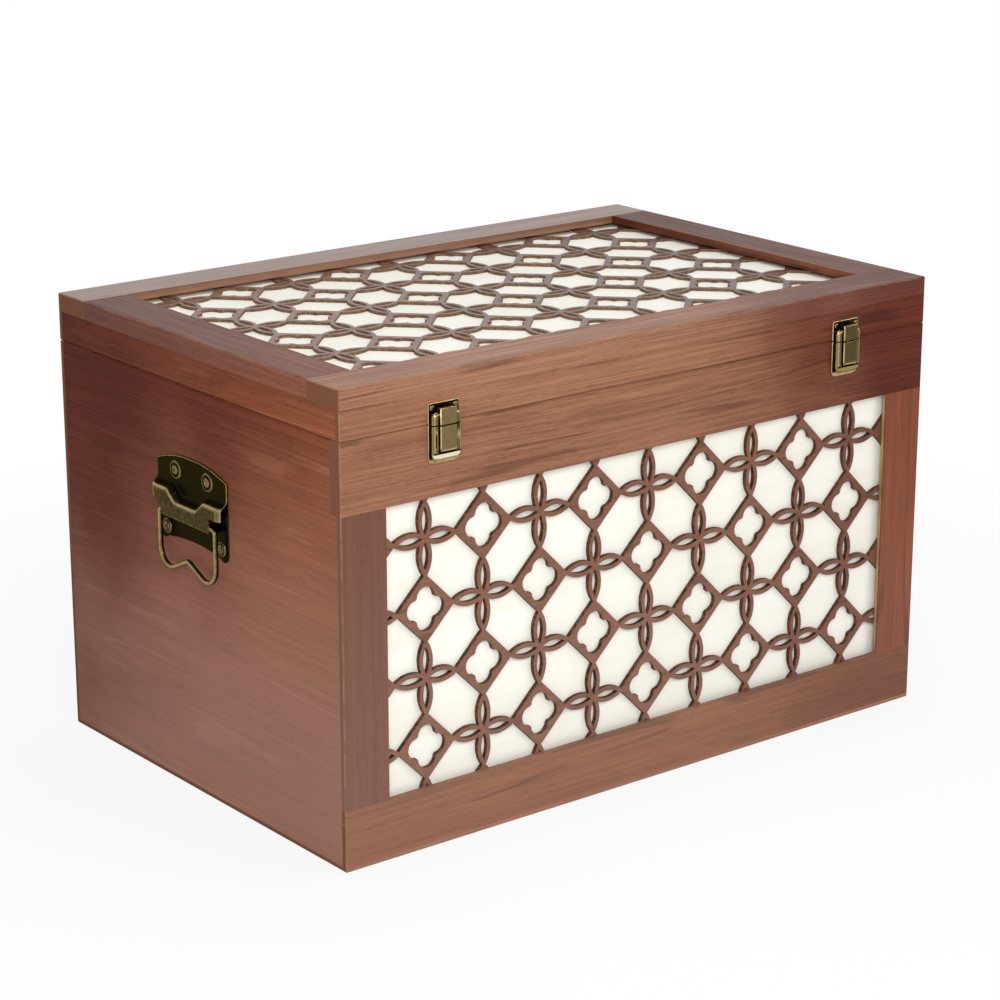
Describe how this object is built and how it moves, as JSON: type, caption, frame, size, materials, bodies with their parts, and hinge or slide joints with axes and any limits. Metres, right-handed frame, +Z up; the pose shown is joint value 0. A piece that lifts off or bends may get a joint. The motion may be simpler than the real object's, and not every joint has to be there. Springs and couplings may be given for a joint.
{
  "type": "wooden trunk",
  "caption": "Rectangular wooden storage trunk with a hinged lid, pierced fretwork over ivory panels in the front and lid, box latches and drop handles on the ends.",
  "frame": {"origin": "middle of the underside", "axes": "+X to the right along the front, front towards -Y, +Z up"},
  "size_m": [0.5778, 0.3872, 0.35],
  "materials": {
    "stained_wood": "satin stain",
    "fretwork": "stained, laser cut",
    "ivory_board": "matte ivory paint",
    "aged_brass": "antique bronze"
  },
  "bodies": {
    "carcass": {"back_board": "stained_wood", "bottom_panel": "stained_wood", "front_backing_panel": "ivory_board", "front_bottom_rail": "stained_wood", "front_lattice": "fretwork", "front_top_rail": "stained_wood", "left_front_stile": "stained_wood", "left_handle_back_plate": "aged_brass", "left_handle_cover": "aged_brass", "left_hinge_lower_leaf": "aged_brass", "left_latch_base": "aged_brass", "left_side_board": "stained_wood", "right_front_stile": "stained_wood", "right_handle_back_plate": "aged_brass", "right_handle_cover": "aged_brass", "right_hinge_lower_leaf": "aged_brass", "right_latch_base": "aged_brass", "right_side_board": "stained_wood"},
    "lid": {"left_hinge_upper_leaf": "aged_brass", "left_latch_keeper": "aged_brass", "left_lid_side_board": "stained_wood", "left_lid_side_rail": "stained_wood", "lid_back_board": "stained_wood", "lid_back_rail": "stained_wood", "lid_backing_panel": "ivory_board", "lid_front_board": "stained_wood", "lid_front_rail": "stained_wood", "lid_lattice": "fretwork", "right_hinge_upper_leaf": "aged_brass", "right_latch_keeper": "aged_brass", "right_lid_side_board": "stained_wood", "right_lid_side_rail": "stained_wood"},
    "left_lever": {"left_latch_lever": "aged_brass"},
    "right_lever": {"right_latch_lever": "aged_brass"},
    "left_grip": {"left_bail": "aged_brass"},
    "right_grip": {"right_bail": "aged_brass"}
  },
  "joints": [
    {"name": "lid_hinge", "type": "hinge", "parent": "carcass", "child": "lid", "pos_m": [0, 0.188, 0.31315], "axis": [-1, 0, 0], "range_deg": [0, 100]},
    {"name": "left_lever_pivot", "type": "hinge", "parent": "carcass", "child": "left_lever", "pos_m": [-0.193, -0.1904, 0.2968], "axis": [1, 0, 0], "range_deg": [0, 105]},
    {"name": "right_lever_pivot", "type": "hinge", "parent": "carcass", "child": "right_lever", "pos_m": [0.193, -0.1904, 0.2968], "axis": [1, 0, 0], "range_deg": [0, 105]},
    {"name": "left_bail_swing", "type": "hinge", "parent": "carcass", "child": "left_grip", "pos_m": [-0.28625, 0, 0.216], "axis": [0, 1, 0], "range_deg": [0, 140]},
    {"name": "right_bail_swing", "type": "hinge", "parent": "carcass", "child": "right_grip", "pos_m": [0.28625, 0, 0.216], "axis": [0, -1, 0], "range_deg": [0, 140]}
  ]
}
